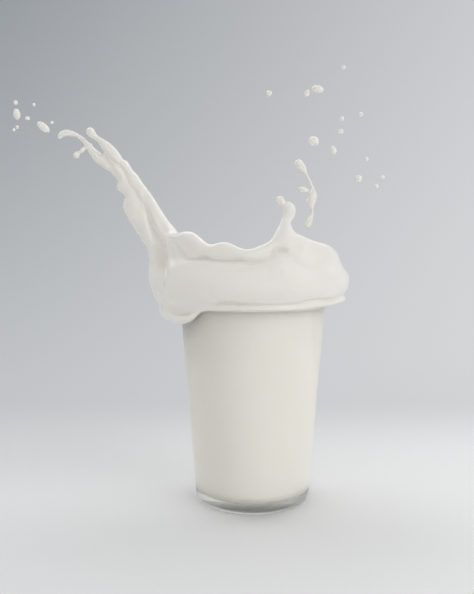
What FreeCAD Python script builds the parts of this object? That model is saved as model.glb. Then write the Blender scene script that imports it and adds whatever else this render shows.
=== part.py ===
"""A straight-sided tumbler filled to the brim with milk that is splashing out of it.

Millimetres, +Z up. The origin is the centre of the tumbler's foot, on the surface it stands on.
-Y is the front, +X is to the right, and the tall jet of the splash leans to the left.
The milk is one solid: the filling of the tumbler, the crown that stands over its rim, the jet
with its two fingers and the small peak. The strand and the drops have come away from it.
"""

import os
from math import cos, pi, radians, sin

import FreeCAD
import Part

Vector = FreeCAD.Vector

# Tumbler
HEIGHT = 113.0
RIM_RADIUS = 42.0
FOOT_RADIUS = 32.8
WALL = 2.2
BASE_THICKNESS = 6.0
HEEL_ROUND = 3.5
INSIDE_ROUND = 5.0
RIM_ROUND = 1.05

# Crown. Every table is (direction in degrees, value), read round the tumbler from +X by way of
# the back. Heights are over the tumbler's rim, radii from its axis.
RIM_TOP = [(0, 25.0), (25, 24.0), (50, 26.5), (75, 30.0), (97, 27.0), (120, 31.0), (142, 35.0),
           (162, 38.0), (180, 39.0), (198, 39.5), (213, 39.5), (226, 39.6), (240, 33.0),
           (251, 34.2), (265, 30.4), (277, 33.5), (289, 38.0), (300, 38.0), (312, 35.2),
           (328, 33.2), (342, 30.0)]
RIM_AT = [(0, 46.0), (50, 44.5), (97, 44.5), (142, 46.0), (180, 50.0), (213, 48.0), (240, 46.5),
          (265, 46.0), (289, 43.5), (312, 45.0), (342, 46.0)]
RIM_THICKNESS = [(0, 5.0), (90, 5.0), (180, 8.0), (226, 7.5), (251, 6.5), (265, 6.0), (289, 6.5),
                 (312, 6.0)]
CREASE_HEIGHT = [(0, 19.0), (50, 20.0), (97, 20.0), (142, 25.0), (180, 27.0), (215, 26.6),
                 (236, 25.8), (255, 24.6), (270, 24.6), (288, 29.5), (302, 25.0), (325, 22.0)]
CREASE_DEPTH = [(0, 0.0), (50, 0.8), (97, 1.2), (142, 1.0), (180, 0.6), (204, 3.2), (218, 2.4),
                (250, 2.4), (270, 2.4), (290, 3.0), (303, 1.6), (325, 0.2)]
BULGE_AT = [(0, 55.4), (45, 53.0), (90, 52.5), (135, 54.5), (165, 58.5), (180, 59.6), (195, 58.6),
            (215, 55.5), (240, 53.0), (270, 52.2), (300, 52.8), (330, 54.2)]
BULGE_HEIGHT = [(0, 14.5), (90, 12.0), (180, 16.0), (225, 13.5), (270, 12.0), (320, 13.0)]
NECK_AT = [(0, 52.4), (22, 51.0), (45, 48.5), (90, 46.6), (150, 50.0), (180, 54.4), (195, 52.6),
           (207, 49.6), (220, 47.0), (245, 45.6), (270, 45.4), (315, 46.8), (337, 49.8)]
NECK_HEIGHT = [(0, 6.6), (22, 5.8), (45, 4.0), (90, 2.6), (150, 3.0), (180, 3.6), (195, 1.6),
               (207, 0.2), (220, 1.2), (245, 2.3), (270, 2.3), (315, 2.8), (337, 4.6)]
LIP_AT = [(0, 53.0), (22, 51.4), (45, 48.8), (90, 46.8), (150, 50.2), (178, 54.4), (190, 54.0),
          (205, 51.4), (217, 49.0), (230, 46.8), (250, 46.2), (270, 46.2), (315, 47.2), (337, 50.4),
          (352, 53.6)]
LIP_HEIGHT = [(0, 3.4), (22, 3.0), (45, 1.2), (90, 0.4), (150, 0.2), (178, -0.6), (190, -2.6),
              (205, -5.0), (217, -4.4), (230, -1.0), (250, 0.6), (270, 0.6), (315, 1.0),
              (337, 2.4), (352, 4.0)]
FOOT_HEIGHT = [(0, -3.4), (45, -2.6), (90, -2.0), (150, -3.2), (178, -5.4), (192, -8.6),
               (207, -10.0), (219, -8.4), (231, -3.2), (250, -1.8), (300, -1.6), (330, -2.6)]
WALL_THICKNESS = 4.4
FLOOR_DEPTH = 7.0
FLOOR_FLARE = 12.0
CROWN_STATIONS = 72

# Jet: middle of the section, half its width in the plane of the jet, half its depth, and how
# deep the groove between its two thick edges is, as a share of its thickness.
JET = [((-44.5, -12.0, 117.0), 10.5, 8.0, 0.0), ((-46.8, -12.5, 128.0), 10.6, 8.6, 0.25),
       ((-48.2, -12.5, 138.6), 10.2, 8.4, 0.50), ((-50.6, -11.5, 147.6), 10.2, 7.6, 0.60),
       ((-55.8, -9.5, 156.0), 10.2, 6.6, 0.60), ((-61.2, -7.0, 164.8), 10.2, 5.8, 0.55),
       ((-65.8, -5.0, 172.6), 9.6, 5.0, 0.50), ((-70.2, -3.0, 180.6), 7.4, 4.4, 0.45),
       ((-74.4, -2.0, 187.6), 5.4, 3.8, 0.30)]
# Fingers, peak and strand: a row of balls, each its centre and its radius.
UPPER_FINGER = [((-64.0, -3.0, 180.0), 3.4), ((-70.0, -2.4, 188.0), 3.4), ((-74.2, -2.0, 193.4), 3.6),
                ((-77.6, -1.8, 197.6), 4.1), ((-81.4, -1.6, 201.3), 3.8), ((-85.4, -1.4, 204.8), 2.7),
                ((-88.8, -1.4, 207.4), 1.6), ((-91.2, -1.4, 209.2), 2.2), ((-93.0, -1.4, 211.2), 2.8)]
LOWER_FINGER = [((-70.5, -2.0, 176.5), 3.6), ((-74.9, -1.6, 183.4), 2.8), ((-78.6, -1.0, 188.2), 2.7),
                ((-82.6, -0.4, 192.2), 3.2), ((-86.6, 0.2, 195.9), 3.8), ((-90.6, 0.8, 199.7), 3.2),
                ((-94.5, 1.4, 203.6), 2.3), ((-98.0, 1.8, 206.7), 1.7), ((-101.9, 2.0, 209.3), 1.35),
                ((-105.4, 2.0, 210.8), 1.8), ((-109.0, 2.0, 211.0), 1.8), ((-111.0, 2.0, 208.9), 1.4)]
SIDE_BEAD = [((-93.6, 1.2, 204.4), 1.2), ((-96.4, 0.6, 202.6), 1.0), ((-98.2, 0.2, 201.0), 1.3),
             ((-99.7, 0.0, 199.7), 1.1), ((-101.0, 0.0, 198.5), 2.0)]
PEAK = [((14.6, -40.0, 144.0), 4.6), ((15.0, -40.4, 149.0), 5.2), ((15.5, -40.0, 153.6), 3.9),
        ((15.7, -39.2, 157.6), 2.8), ((17.0, -38.4, 160.4), 2.3), ((18.0, -38.0, 163.0), 2.7),
        ((17.4, -38.0, 165.6), 2.6), ((14.4, -38.0, 166.6), 1.6), ((13.2, -38.0, 169.3), 1.6)]
STRAND = [((25.4, -10.0, 192.3), 2.1), ((27.9, -10.0, 188.9), 1.9), ((29.2, -10.0, 186.3), 1.2),
          ((31.3, -10.0, 183.0), 0.95), ((33.0, -10.0, 179.2), 0.9), ((33.6, -10.0, 176.6), 1.5),
          ((33.2, -10.0, 174.0), 2.3), ((32.4, -10.0, 171.2), 2.8), ((33.0, -10.0, 168.2), 1.4),
          ((33.5, -10.0, 165.4), 0.8), ((33.1, -10.0, 162.8), 0.9), ((31.8, -10.0, 160.6), 1.5),
          ((30.9, -10.0, 158.2), 1.85)]
# Drops: centre, half length, half width, and how far the long axis leans from upright to the right.
DROPS_LEFT = [((-135.1, 0.0, 221.7), 3.15, 2.0, -6), ((-120.0, 0.0, 214.4), 4.3, 2.2, -52),
              ((-137.0, 4.0, 229.2), 1.4, 1.3, 0), ((-127.6, -4.0, 218.4), 1.45, 1.15, 90),
              ((-127.1, 6.0, 228.7), 1.0, 0.9, 0), ((-115.9, 3.0, 217.7), 0.95, 0.9, 30),
              ((-135.8, -3.0, 212.2), 0.95, 0.9, 0), ((-136.0, 3.0, 215.0), 1.15, 0.9, 0)]
DROPS_RIGHT = [((34.7, -2.0, 206.0), 3.2, 2.7, 96), ((37.5, 4.0, 237.0), 3.6, 2.1, 100),
               ((62.3, 6.0, 186.0), 2.0, 1.9, 0), ((45.7, -5.0, 200.4), 2.45, 1.65, -20),
               ((28.3, -10.0, 177.6), 3.0, 1.55, 108), ((31.3, 2.0, 234.1), 2.0, 1.55, 20),
               ((8.9, -8.0, 231.3), 1.7, 1.55, 80), ((51.4, 5.0, 213.0), 1.65, 1.5, 80),
               ((63.6, 8.0, 223.6), 1.4, 1.25, -35), ((50.6, -3.0, 218.5), 1.35, 1.15, 0),
               ((52.3, 3.0, 248.9), 1.25, 1.2, 0), ((64.4, -6.0, 195.3), 1.05, 1.0, 0),
               ((75.9, 4.0, 186.7), 1.15, 1.1, 0), ((70.5, -4.0, 180.3), 1.2, 1.1, -40)]

# A closed cubic lies inside its control points: this factor puts it back on its circle.
RING_POINTS = 12
RING_SWELL = 3.0 / (2.0 + cos(2 * pi / RING_POINTS))
# How far a raw piece of milk is let into the glass before the tumbler trims it.
OVERLAP = 0.8


def around(table, degrees):
    """The value of a table in one direction, smooth and joined up at the full turn."""
    count = len(table)
    for i in range(count):
        (a1, v1), (a2, v2) = table[i], table[(i + 1) % count]
        span = (a2 - a1) % 360 or 360
        offset = (degrees - a1) % 360
        if offset <= span:
            break
    a0, v0 = table[i - 1]
    a3, v3 = table[(i + 2) % count]
    before, after = (a1 - a0) % 360 or 360, (a3 - a2) % 360 or 360
    slope1 = (v2 - v0) / (before + span) * span
    slope2 = (v3 - v1) / (span + after) * span
    t = offset / span
    return ((2 * t**3 - 3 * t**2 + 1) * v1 + (t**3 - 2 * t**2 + t) * slope1
            + (3 * t**2 - 2 * t**3) * v2 + (t**3 - t**2) * slope2)


def crown_section(degrees):
    """The closed outline of the crown in one direction, as (radius, height) control points."""
    top = around(RIM_TOP, degrees)
    rim = around(RIM_AT, degrees)
    half = around(RIM_THICKNESS, degrees) / 2
    crease = around(CREASE_HEIGHT, degrees)
    bulge, bulge_height = around(BULGE_AT, degrees), around(BULGE_HEIGHT, degrees)
    neck, neck_height = around(NECK_AT, degrees), around(NECK_HEIGHT, degrees)
    lip, lip_height = around(LIP_AT, degrees), around(LIP_HEIGHT, degrees)
    foot = around(FOOT_HEIGHT, degrees)
    collar = rim + half
    crease_at = (collar + bulge) / 2 - around(CREASE_DEPTH, degrees)
    bore = RIM_RADIUS - WALL
    outside = [(RIM_RADIUS - 0.8, foot + 1.2), (RIM_RADIUS + 0.8, foot - 0.4),
               ((RIM_RADIUS + lip) / 2, (foot + lip_height) / 2 - 1.4),
               (lip + 0.2, lip_height - 1.0), (lip + 0.3, lip_height + 0.6), (neck, neck_height),
               ((neck + bulge) / 2 + 1.2, (neck_height + bulge_height) / 2),
               (bulge + 0.2, bulge_height), ((bulge + crease_at) / 2 + 0.8, (bulge_height + crease) / 2),
               (crease_at, crease), (collar + 0.6, (2 * crease + top) / 3 + 0.6),
               (collar + 0.2, top - half)]
    crest = [(rim, top + 0.6)]
    inside = [(rim - half, top - half), (crease_at - WALL_THICKNESS, crease),
              (bulge - WALL_THICKNESS - 1.5, bulge_height),
              ((bore + bulge - WALL_THICKNESS) / 2 - 1.5, bulge_height / 2),
              (bore - 4.0, -1.0), (bore - FLOOR_FLARE, -FLOOR_DEPTH + 0.8),
              (bore - FLOOR_FLARE - 6.0, -FLOOR_DEPTH - 1.5), (bore - FLOOR_FLARE, -FLOOR_DEPTH - 6.0),
              (bore + 0.8, -FLOOR_DEPTH - 6.0)]
    return outside + crest + inside


def uniform(count):
    """Multiplicities and knots of a closed, evenly spaced cubic."""
    return [1] * (count + 1), [float(k) for k in range(count + 1)]


def clamped(count):
    """Multiplicities and knots of a cubic that starts and ends at its end poles."""
    inner = count - 4
    return [4] + [1] * inner + [4], [float(k) for k in range(inner + 2)]


def solid_of(surface):
    """The solid that one closed surface bounds, facing outwards."""
    solid = Part.makeSolid(Part.makeShell([surface.toShape()]))
    return solid if solid.Volume > 0 else solid.reversed()


def make_crown():
    """The crown: one surface, closed both ways, through a section in each direction."""
    poles = []
    for k in range(CROWN_STATIONS):
        degrees = 360.0 * k / CROWN_STATIONS
        turn = radians(degrees)
        poles.append([Vector(r * cos(turn), r * sin(turn), HEIGHT + z)
                      for r, z in crown_section(degrees)])
    around_mults, around_knots = uniform(len(poles))
    section_mults, section_knots = uniform(len(poles[0]))
    surface = Part.BSplineSurface()
    surface.buildFromPolesMultsKnots(poles, around_mults, section_mults, around_knots,
                                     section_knots, True, True, 3, 3)
    surface.setUNotPeriodic()
    surface.setVNotPeriodic()
    return solid_of(surface)


def ring(centre, across, deep, half_width, half_depth, groove=0.0):
    """Control points of one closed section, with a groove in its front and back."""
    points = []
    for k in range(RING_POINTS):
        turn = 2 * pi * k / RING_POINTS
        depth = half_depth * sin(turn) * (1 - groove * sin(turn) ** 6)
        points.append(centre + across * (half_width * RING_SWELL * cos(turn))
                      + deep * (depth * RING_SWELL))
    return points


def skin(rows, start, end):
    """The solid of a smooth skin over rows of control points, closed by a rounded tip at each end."""
    rows = [[start] * RING_POINTS] + rows + [[end] * RING_POINTS]
    poles = [list(column) for column in zip(*rows)]
    ring_mults, ring_knots = uniform(RING_POINTS)
    long_mults, long_knots = clamped(len(rows))
    surface = Part.BSplineSurface()
    surface.buildFromPolesMultsKnots(poles, ring_mults, long_mults, ring_knots, long_knots,
                                     True, False, 3, 3)
    return solid_of(surface)


def frame_at(points, k):
    """Direction of a row of points at point k, and two directions square to it."""
    along = (points[min(k + 1, len(points) - 1)] - points[max(k - 1, 0)]).normalize()
    across = along.cross(Vector(0, 1, 0)).normalize()
    return along, across, across.cross(along)


def tube(balls):
    """A round, tapering thread of liquid through a row of balls, with round ends."""
    points = [Vector(*centre) for centre, _ in balls]
    radii = [radius for _, radius in balls]
    rows = []
    for k, (point, radius) in enumerate(zip(points, radii)):
        along, across, deep = frame_at(points, k)
        if k == 0:
            start = point - along * radius
            rows.append(ring(start, across, deep, radius * 0.6, radius * 0.6))
        rows.append(ring(point, across, deep, radius, radius))
        if k == len(balls) - 1:
            end = point + along * radius
            rows.append(ring(end, across, deep, radius * 0.6, radius * 0.6))
    return skin(rows, start, end)


def make_jet():
    """The trunk of the jet: two thick edges with a groove between them, front and back."""
    points = [Vector(*centre) for centre, *_ in JET]
    rows = []
    for k, (_, half_width, half_depth, groove) in enumerate(JET):
        along, across, deep = frame_at(points, k)
        rows.append(ring(points[k], across, deep, half_width, half_depth, groove))
    first, last = frame_at(points, 0)[0], frame_at(points, len(points) - 1)[0]
    start = points[0] - first * 4.0
    end = points[-1] + last * 4.0
    return skin(rows, start, end)


def make_drop(centre, half_length, half_width, lean):
    """A drop: a ball stretched or squashed along its long axis, leaning to the right."""
    ball = Part.makeSphere(1.0)
    stretch = FreeCAD.Matrix()
    stretch.scale(Vector(half_width, half_width, half_length))
    drop = ball.transformGeometry(stretch)
    drop.rotate(Vector(0, 0, 0), Vector(0, 1, 0), lean)
    drop.translate(Vector(*centre))
    return drop.Solids[0]


def wall_radius(height):
    """Radius of the tumbler's straight outside at a height."""
    return FOOT_RADIUS + (RIM_RADIUS - FOOT_RADIUS) * height / HEIGHT


def revolved(points):
    """The solid of a closed outline of (radius, height) points turned about the axis."""
    wire = Part.makePolygon([Vector(r, 0, z) for r, z in points + points[:1]])
    return Part.Face(wire).revolve(Vector(0, 0, 0), Vector(0, 0, 1), 360)


def round_edge(solid, radius, height, size):
    """Rounds the circular edge that has this radius and height."""
    edges = [e for e in solid.Edges
             if isinstance(e.Curve, Part.Circle) and abs(e.Curve.Radius - radius) < 0.01
             and abs(e.Curve.Center.z - height) < 0.01]
    return solid.makeFillet(size, edges)


def make_glass():
    """The tumbler: thick flat base, tapering wall, rounded heel and rim."""
    inner_foot = wall_radius(BASE_THICKNESS) - WALL
    inner_rim = RIM_RADIUS - WALL
    body = revolved([(0, 0), (FOOT_RADIUS, 0), (RIM_RADIUS, HEIGHT), (inner_rim, HEIGHT),
                     (inner_foot, BASE_THICKNESS), (0, BASE_THICKNESS)])
    body = round_edge(body, FOOT_RADIUS, 0, HEEL_ROUND)
    body = round_edge(body, inner_foot, BASE_THICKNESS, INSIDE_ROUND)
    body = round_edge(body, RIM_RADIUS, HEIGHT, RIM_ROUND)
    return round_edge(body, inner_rim, HEIGHT, RIM_ROUND).Solids[0]


def make_filling():
    """The milk inside the tumbler, cut oversize so that the tumbler trims it."""
    floor = BASE_THICKNESS - OVERLAP
    return revolved([(0, floor), (wall_radius(floor) - WALL + OVERLAP, floor),
                     (RIM_RADIUS - WALL + OVERLAP, HEIGHT - FLOOR_DEPTH - 2.0),
                     (0, HEIGHT - FLOOR_DEPTH - 2.0)])


def make_milk(glass):
    """Filling, crown, jet, fingers and peak as one solid, trimmed by the tumbler."""
    milk = make_filling().fuse(make_crown())
    for piece in (make_jet(), tube(UPPER_FINGER), tube(LOWER_FINGER), tube(SIDE_BEAD), tube(PEAK)):
        milk = milk.fuse(piece)
    milk = milk.cut(glass)
    return max(milk.Solids, key=lambda solid: solid.Volume)


def main():
    """Builds every piece and writes one STEP file for each."""
    os.makedirs("parts", exist_ok=True)
    glass = make_glass()
    pieces = {"glass": glass, "milk": make_milk(glass), "strand": tube(STRAND)}
    for side, drops in (("left", DROPS_LEFT), ("right", DROPS_RIGHT)):
        for number, drop in enumerate(drops, 1):
            pieces[f"drop_{side}_{number}"] = make_drop(*drop)
    for name, shape in pieces.items():
        shape.exportStep(f"parts/{name}.step")
        print(name, shape.ShapeType, shape.isValid(), f"{shape.Volume / 1000:.3f} ml")


main()
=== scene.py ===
"""The finish of a tumbler brimful of milk, held still in mid-splash.

The milk is shaped as a liquid is: threads, sheets and rolls of liquid are poured into one field of
distances, where they run together, and the skin of that field is the milk's surface. The strand
that has come away is made the same way, and the loose drops are set by a node tree. Lengths in the
liquid's classes are millimetres; every mesh is built in metres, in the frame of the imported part.
"""

import logging
import math
from dataclasses import dataclass, field
from enum import Enum
from typing import Sequence

import bpy
import numpy as np
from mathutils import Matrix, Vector


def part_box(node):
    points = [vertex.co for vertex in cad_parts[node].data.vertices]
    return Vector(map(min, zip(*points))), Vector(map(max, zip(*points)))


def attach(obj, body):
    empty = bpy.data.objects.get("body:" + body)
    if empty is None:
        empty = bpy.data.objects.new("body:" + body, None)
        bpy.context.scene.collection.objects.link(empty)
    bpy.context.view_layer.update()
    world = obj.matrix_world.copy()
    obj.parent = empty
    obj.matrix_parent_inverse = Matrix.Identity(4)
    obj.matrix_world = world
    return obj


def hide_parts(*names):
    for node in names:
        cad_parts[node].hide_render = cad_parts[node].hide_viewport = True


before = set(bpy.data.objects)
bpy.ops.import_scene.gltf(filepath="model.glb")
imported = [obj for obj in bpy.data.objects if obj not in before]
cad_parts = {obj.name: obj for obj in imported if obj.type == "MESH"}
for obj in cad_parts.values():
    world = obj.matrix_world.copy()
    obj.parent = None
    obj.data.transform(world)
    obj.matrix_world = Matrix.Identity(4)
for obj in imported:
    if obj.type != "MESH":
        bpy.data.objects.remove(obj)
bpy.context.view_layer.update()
MM = 0.001
FAR = 60.0
LOG = logging.getLogger("glass_of_milk")

CORNERS = tuple((i, j, k) for i in (0, 1) for j in (0, 1) for k in (0, 1))

Ball = tuple[float, float, float, float]
Colour = tuple[float, float, float, float]
Window = tuple[slice, slice, slice]


# ---------------------------------------------------------------------------------------------
# Liquid
# ---------------------------------------------------------------------------------------------


def run_together(one: np.ndarray, other: np.ndarray, neck: float) -> np.ndarray:
    """Joins two distances as two liquids join, with a fillet.

    Args:
        one: Distances to one surface.
        other: Distances to the other.
        neck: How far apart the surfaces still pull towards each other.

    Returns:
        Distances to the joined surface.
    """
    near = np.maximum(neck - np.abs(one - other), 0.0)
    return np.minimum(one, other) - near * near / (4.0 * neck)


def smooth_row(row: np.ndarray, count: int) -> np.ndarray:
    """Runs a smooth curve through the rows of an array.

    Args:
        row: Points, one to a row, with any number of values each.
        count: How many steps to take between two points.

    Returns:
        The points of the curve, the given ones among them.
    """
    ends = np.concatenate([row[:1], row, row[-1:]])
    t = np.arange(count)[:, None] / count
    pieces = []
    for a, b, c, d in zip(ends[:-3], ends[1:-2], ends[2:-1], ends[3:]):
        pieces.append(b + 0.5 * t * (c - a + t * (2 * a - 5 * b + 4 * c - d
                                                  + t * (3 * (b - c) + d - a))))
    return np.concatenate(pieces + [row[-1:]])


def lifted(balls: Sequence, rim: float) -> np.ndarray:
    """Balls that are given over the tumbler's rim, lifted to its height."""
    return np.array(balls) + np.array([0.0, 0.0, rim, 0.0])


def planes(*stretches: tuple[float, float, float]) -> np.ndarray:
    """Places of planes, from the start, the end and the spacing of each stretch of them."""
    return np.concatenate([np.arange(*stretch) for stretch in stretches])


def at_corner(values: np.ndarray, corner: tuple[int, int, int]) -> np.ndarray:
    """The value at one corner of every cell of a grid."""
    return values[tuple(slice(step, size - 1 + step) for step, size in zip(corner, values.shape))]


class LiquidField:
    """Distances to a liquid's surface, negative inside, at the crossings of three rows of planes."""

    most_passes: int = 12
    least_depth: float = 0.03
    margin: float = 2.5
    longest_move: float = 0.35
    least_slope: float = 0.3

    def __init__(self, xs: np.ndarray, ys: np.ndarray, zs: np.ndarray) -> None:
        """Starts with no liquid in the box.

        Args:
            xs: Places of the planes along X.
            ys: Places of the planes along Y.
            zs: Places of the planes along Z.
        """
        self.axes = (xs, ys, zs)
        self.values = np.full((len(xs), len(ys), len(zs)), FAR, np.float32)

    def window(self, low: Sequence[float], high: Sequence[float]) -> Window:
        """The part of the box between two corners."""
        return tuple(slice(max(int(np.searchsorted(axis, a)) - 1, 0),
                           int(np.searchsorted(axis, b)) + 1)
                     for axis, a, b in zip(self.axes, low, high))

    def places(self, window: Window) -> tuple[np.ndarray, np.ndarray, np.ndarray]:
        """X, Y and Z of a window, shaped so that they combine into its box."""
        xs, ys, zs = (axis[part].astype(np.float32) for axis, part in zip(self.axes, window))
        return xs[:, None, None], ys[None, :, None], zs[None, None, :]

    def pour(self, rungs: Sequence[np.ndarray], neck: float) -> None:
        """Adds rows of balls, each row filled out from ball to ball.

        Args:
            rungs: Rows of balls, each an array of x, y, z and radius.
            neck: How far the new liquid pulls towards what is there already.
        """
        reach = neck + self.margin
        every = np.concatenate(rungs)
        low = (every[:, :3] - every[:, 3:]).min(0) - reach
        high = (every[:, :3] + every[:, 3:]).max(0) + reach
        whole = self.window(low, high)
        fresh = LiquidField(*(axis[part] for axis, part in zip(self.axes, whole)))
        for rung in rungs:
            for start, end in zip(rung[:-1], rung[1:]):
                fresh._fill(start, end, reach)
        self.values[whole] = run_together(self.values[whole], fresh.values, neck)

    def _fill(self, start: np.ndarray, end: np.ndarray, reach: float) -> None:
        """Adds the liquid between two balls, with a radius that changes evenly.

        Args:
            start: The x, y, z and radius of the first ball.
            end: The same of the second.
            reach: How far outside the liquid its distances are needed.
        """
        low = np.minimum(start[:3] - start[3], end[:3] - end[3]) - reach
        high = np.maximum(start[:3] + start[3], end[:3] + end[3]) + reach
        part = self.window(low, high)
        x, y, z = self.places(part)
        x, y, z = x - start[0], y - start[1], z - start[2]
        run = end[:3] - start[:3]
        t = np.clip((x * run[0] + y * run[1] + z * run[2]) / max(float(run @ run), 1e-9), 0.0, 1.0)
        gap = np.sqrt((x - t * run[0]) ** 2 + (y - t * run[1]) ** 2 + (z - t * run[2]) ** 2)
        gap -= start[3] + t * (end[3] - start[3])
        self.values[part] = np.minimum(self.values[part], gap)

    def settle(self) -> None:
        """Evens the field out, as surface tension would."""
        for axis in range(3):
            v = np.moveaxis(self.values, axis, 0)
            v[1:-1] = 0.25 * v[:-2] + 0.5 * v[1:-1] + 0.25 * v[2:]

    def _read(self, points: np.ndarray) -> np.ndarray:
        """The field between the planes.

        Args:
            points: Points, one to a row.

        Returns:
            The distance at each point.
        """
        whole, part = [], []
        for axis, place in zip(self.axes, points.T):
            k = np.clip(np.searchsorted(axis, place) - 1, 0, len(axis) - 2)
            whole.append(k)
            part.append(np.clip((place - axis[k]) / (axis[k + 1] - axis[k]), 0.0, 1.0))
        total = np.zeros(len(points))
        for steps in CORNERS:
            weight = np.ones(len(points))
            for step, share in zip(steps, part):
                weight = weight * (share if step else 1.0 - share)
            total += weight * self.values[tuple(k + step for k, step in zip(whole, steps))]
        return total

    def close_pinches(self) -> None:
        """Fills the cells where the skin would touch itself along an edge or at one corner.

        A cell is left alone when its wet corners hang together and its dry corners do too.
        """
        pinched = np.array([not (self._joined(code) and self._joined(255 - code))
                            for code in range(256)])
        for _ in range(self.most_passes):
            wet = self.values < 0
            code = np.zeros(tuple(n - 1 for n in wet.shape), np.uint8)
            for bit, corner in enumerate(CORNERS):
                code |= at_corner(wet, corner).astype(np.uint8) << bit
            cells = np.argwhere(pinched[code])
            if not len(cells):
                return
            for corner in CORNERS:
                at = tuple((cells + np.array(corner)).T)
                self.values[at] = np.minimum(self.values[at], -self.least_depth)

    @staticmethod
    def _joined(code: int) -> bool:
        """Tells whether some corners of a cell hang together along its edges.

        Args:
            code: A number whose bits name the corners.

        Returns:
            True if they do, or if there are none.
        """
        left = {corner for corner in range(8) if code >> corner & 1}
        reached = {min(left)} if left else set()
        grown = True
        while grown:
            more = {corner ^ step for corner in reached for step in (1, 2, 4)} & left - reached
            reached, grown = reached | more, bool(more)
        return reached == left

    def skin(self, passes: int = 3) -> "Skin":
        """The surface where the field is zero.

        Args:
            passes: How many times the surface is evened out and drawn back to zero.

        Returns:
            The closed skin, its faces turned outwards.
        """
        self.close_pinches()
        wet = self.values < 0
        count = np.zeros(tuple(n - 1 for n in wet.shape), np.int8)
        for corner in CORNERS:
            count += at_corner(wet, corner)
        cells = np.argwhere((count > 0) & (count < 8))
        index = np.full(count.shape, -1, np.int64)
        index[tuple(cells.T)] = np.arange(len(cells))
        total, hits = np.zeros((len(cells), 3)), np.zeros(len(cells))
        for axis in range(3):
            for corner in CORNERS:
                if corner[axis]:
                    continue
                a = cells + np.array(corner)
                b = a.copy()
                b[:, axis] += 1
                fa, fb = self.values[tuple(a.T)], self.values[tuple(b.T)]
                cross = (fa < 0) != (fb < 0)
                share = np.where(cross, fa / np.where(cross, fa - fb, 1.0), 0.0)
                pa = np.stack([line[k] for line, k in zip(self.axes, a.T)], 1)
                pb = np.stack([line[k] for line, k in zip(self.axes, b.T)], 1)
                total += (pa + (pb - pa) * share[:, None]) * cross[:, None]
                hits += cross
        points = total / hits[:, None]
        quads = []
        for axis in range(3):
            here = [slice(1, -1)] * 3
            here[axis] = slice(0, -1)
            there = list(here)
            there[axis] = slice(1, None)
            a, b = wet[tuple(here)], wet[tuple(there)]
            edges = np.argwhere(a != b)
            first = a[tuple(edges.T)]
            offset = np.ones(3, int)
            offset[axis] = 0
            at = edges + offset
            u, v = (axis + 1) % 3, (axis + 2) % 3
            ring = []
            for du, dv in ((0, 0), (-1, 0), (-1, -1), (0, -1)):
                cell = at.copy()
                cell[:, u] += du
                cell[:, v] += dv
                ring.append(index[tuple(cell.T)])
            ring = np.stack(ring, 1)
            quads.append(np.where(first[:, None], ring, ring[:, ::-1]))
        quads = np.concatenate(quads)
        for _ in range(passes):
            points = self._draw_back(self._even(points, quads))
        return Skin(points, quads)

    @staticmethod
    def _even(points: np.ndarray, quads: np.ndarray) -> np.ndarray:
        """Moves each point halfway to the middle of its neighbours.

        Args:
            points: The points of a surface.
            quads: Its faces, four points each.

        Returns:
            The moved points.
        """
        total, hits = np.zeros_like(points), np.zeros(len(points))
        for k in range(4):
            here, there = quads[:, k], quads[:, (k + 1) % 4]
            for a, b in ((here, there), (there, here)):
                for axis in range(3):
                    total[:, axis] += np.bincount(a, points[b, axis], len(points))
                hits += np.bincount(a, minlength=len(points))
        return 0.5 * points + 0.5 * total / hits[:, None]

    def _draw_back(self, points: np.ndarray) -> np.ndarray:
        """Moves each point along the field's slope towards where the field is zero.

        Args:
            points: Points near the surface.

        Returns:
            The moved points.
        """
        reach = self.longest_move
        slope = np.empty_like(points)
        for axis in range(3):
            step = np.zeros(3)
            step[axis] = reach
            slope[:, axis] = (self._read(points + step) - self._read(points - step)) / (2 * reach)
        steepness = np.maximum((slope ** 2).sum(1), self.least_slope)
        move = np.clip(self._read(points) / steepness, -reach, reach)
        return points - slope * move[:, None]


@dataclass
class Skin:
    """A closed surface in millimetres: its points, and its faces of four corners each."""

    points: np.ndarray
    faces: np.ndarray
    sideways_share: float = 0.35
    facing_gain: float = 1.6

    def outward(self) -> np.ndarray:
        """Finds which way is outwards.

        Returns:
            The direction square to the surface at each point.
        """
        a, b, c, d = (self.points[self.faces[:, k]] for k in range(4))
        across = np.cross(c - a, d - b)
        total = np.zeros_like(self.points)
        for k in range(4):
            for axis in range(3):
                total[:, axis] += np.bincount(self.faces[:, k], across[:, axis], len(total))
        return total / np.maximum(np.linalg.norm(total, axis=1), 1e-12)[:, None]

    def press(self, creases: Sequence["Crease"], lift: float) -> None:
        """Presses creases into the front of the surface.

        Args:
            creases: The creases.
            lift: Height that the creases' own heights are measured from.
        """
        out = self.outward()
        facing = np.clip(self.sideways_share - self.facing_gain * out[:, 1], 0.0, 1.0)
        facing *= self.points[:, 1] < 0.0
        front = np.flatnonzero(facing > 0)
        x, z = self.points[front, 0], self.points[front, 2] - lift
        depth = np.zeros(len(front))
        for crease in creases:
            depth += crease.depth_at(x, z)
        self.points[front] -= out[front] * (depth * facing[front])[:, None]

    def mesh(self, name: str) -> bpy.types.Object:
        """Makes a smooth mesh object of the skin.

        Args:
            name: The object's name.

        Returns:
            The object, at the origin, in metres.
        """
        mesh = bpy.data.meshes.new(name)
        mesh.vertices.add(len(self.points))
        mesh.vertices.foreach_set("co", (self.points * MM).astype(np.float32).ravel())
        mesh.loops.add(self.faces.size)
        mesh.loops.foreach_set("vertex_index", self.faces.astype(np.int32).ravel())
        mesh.polygons.add(len(self.faces))
        mesh.polygons.foreach_set("loop_start", np.arange(len(self.faces), dtype=np.int32) * 4)
        mesh.update(calc_edges=True)
        mesh.validate()
        mesh.shade_smooth()
        made = bpy.data.objects.new(name, mesh)
        bpy.context.scene.collection.objects.link(made)
        return made


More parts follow.
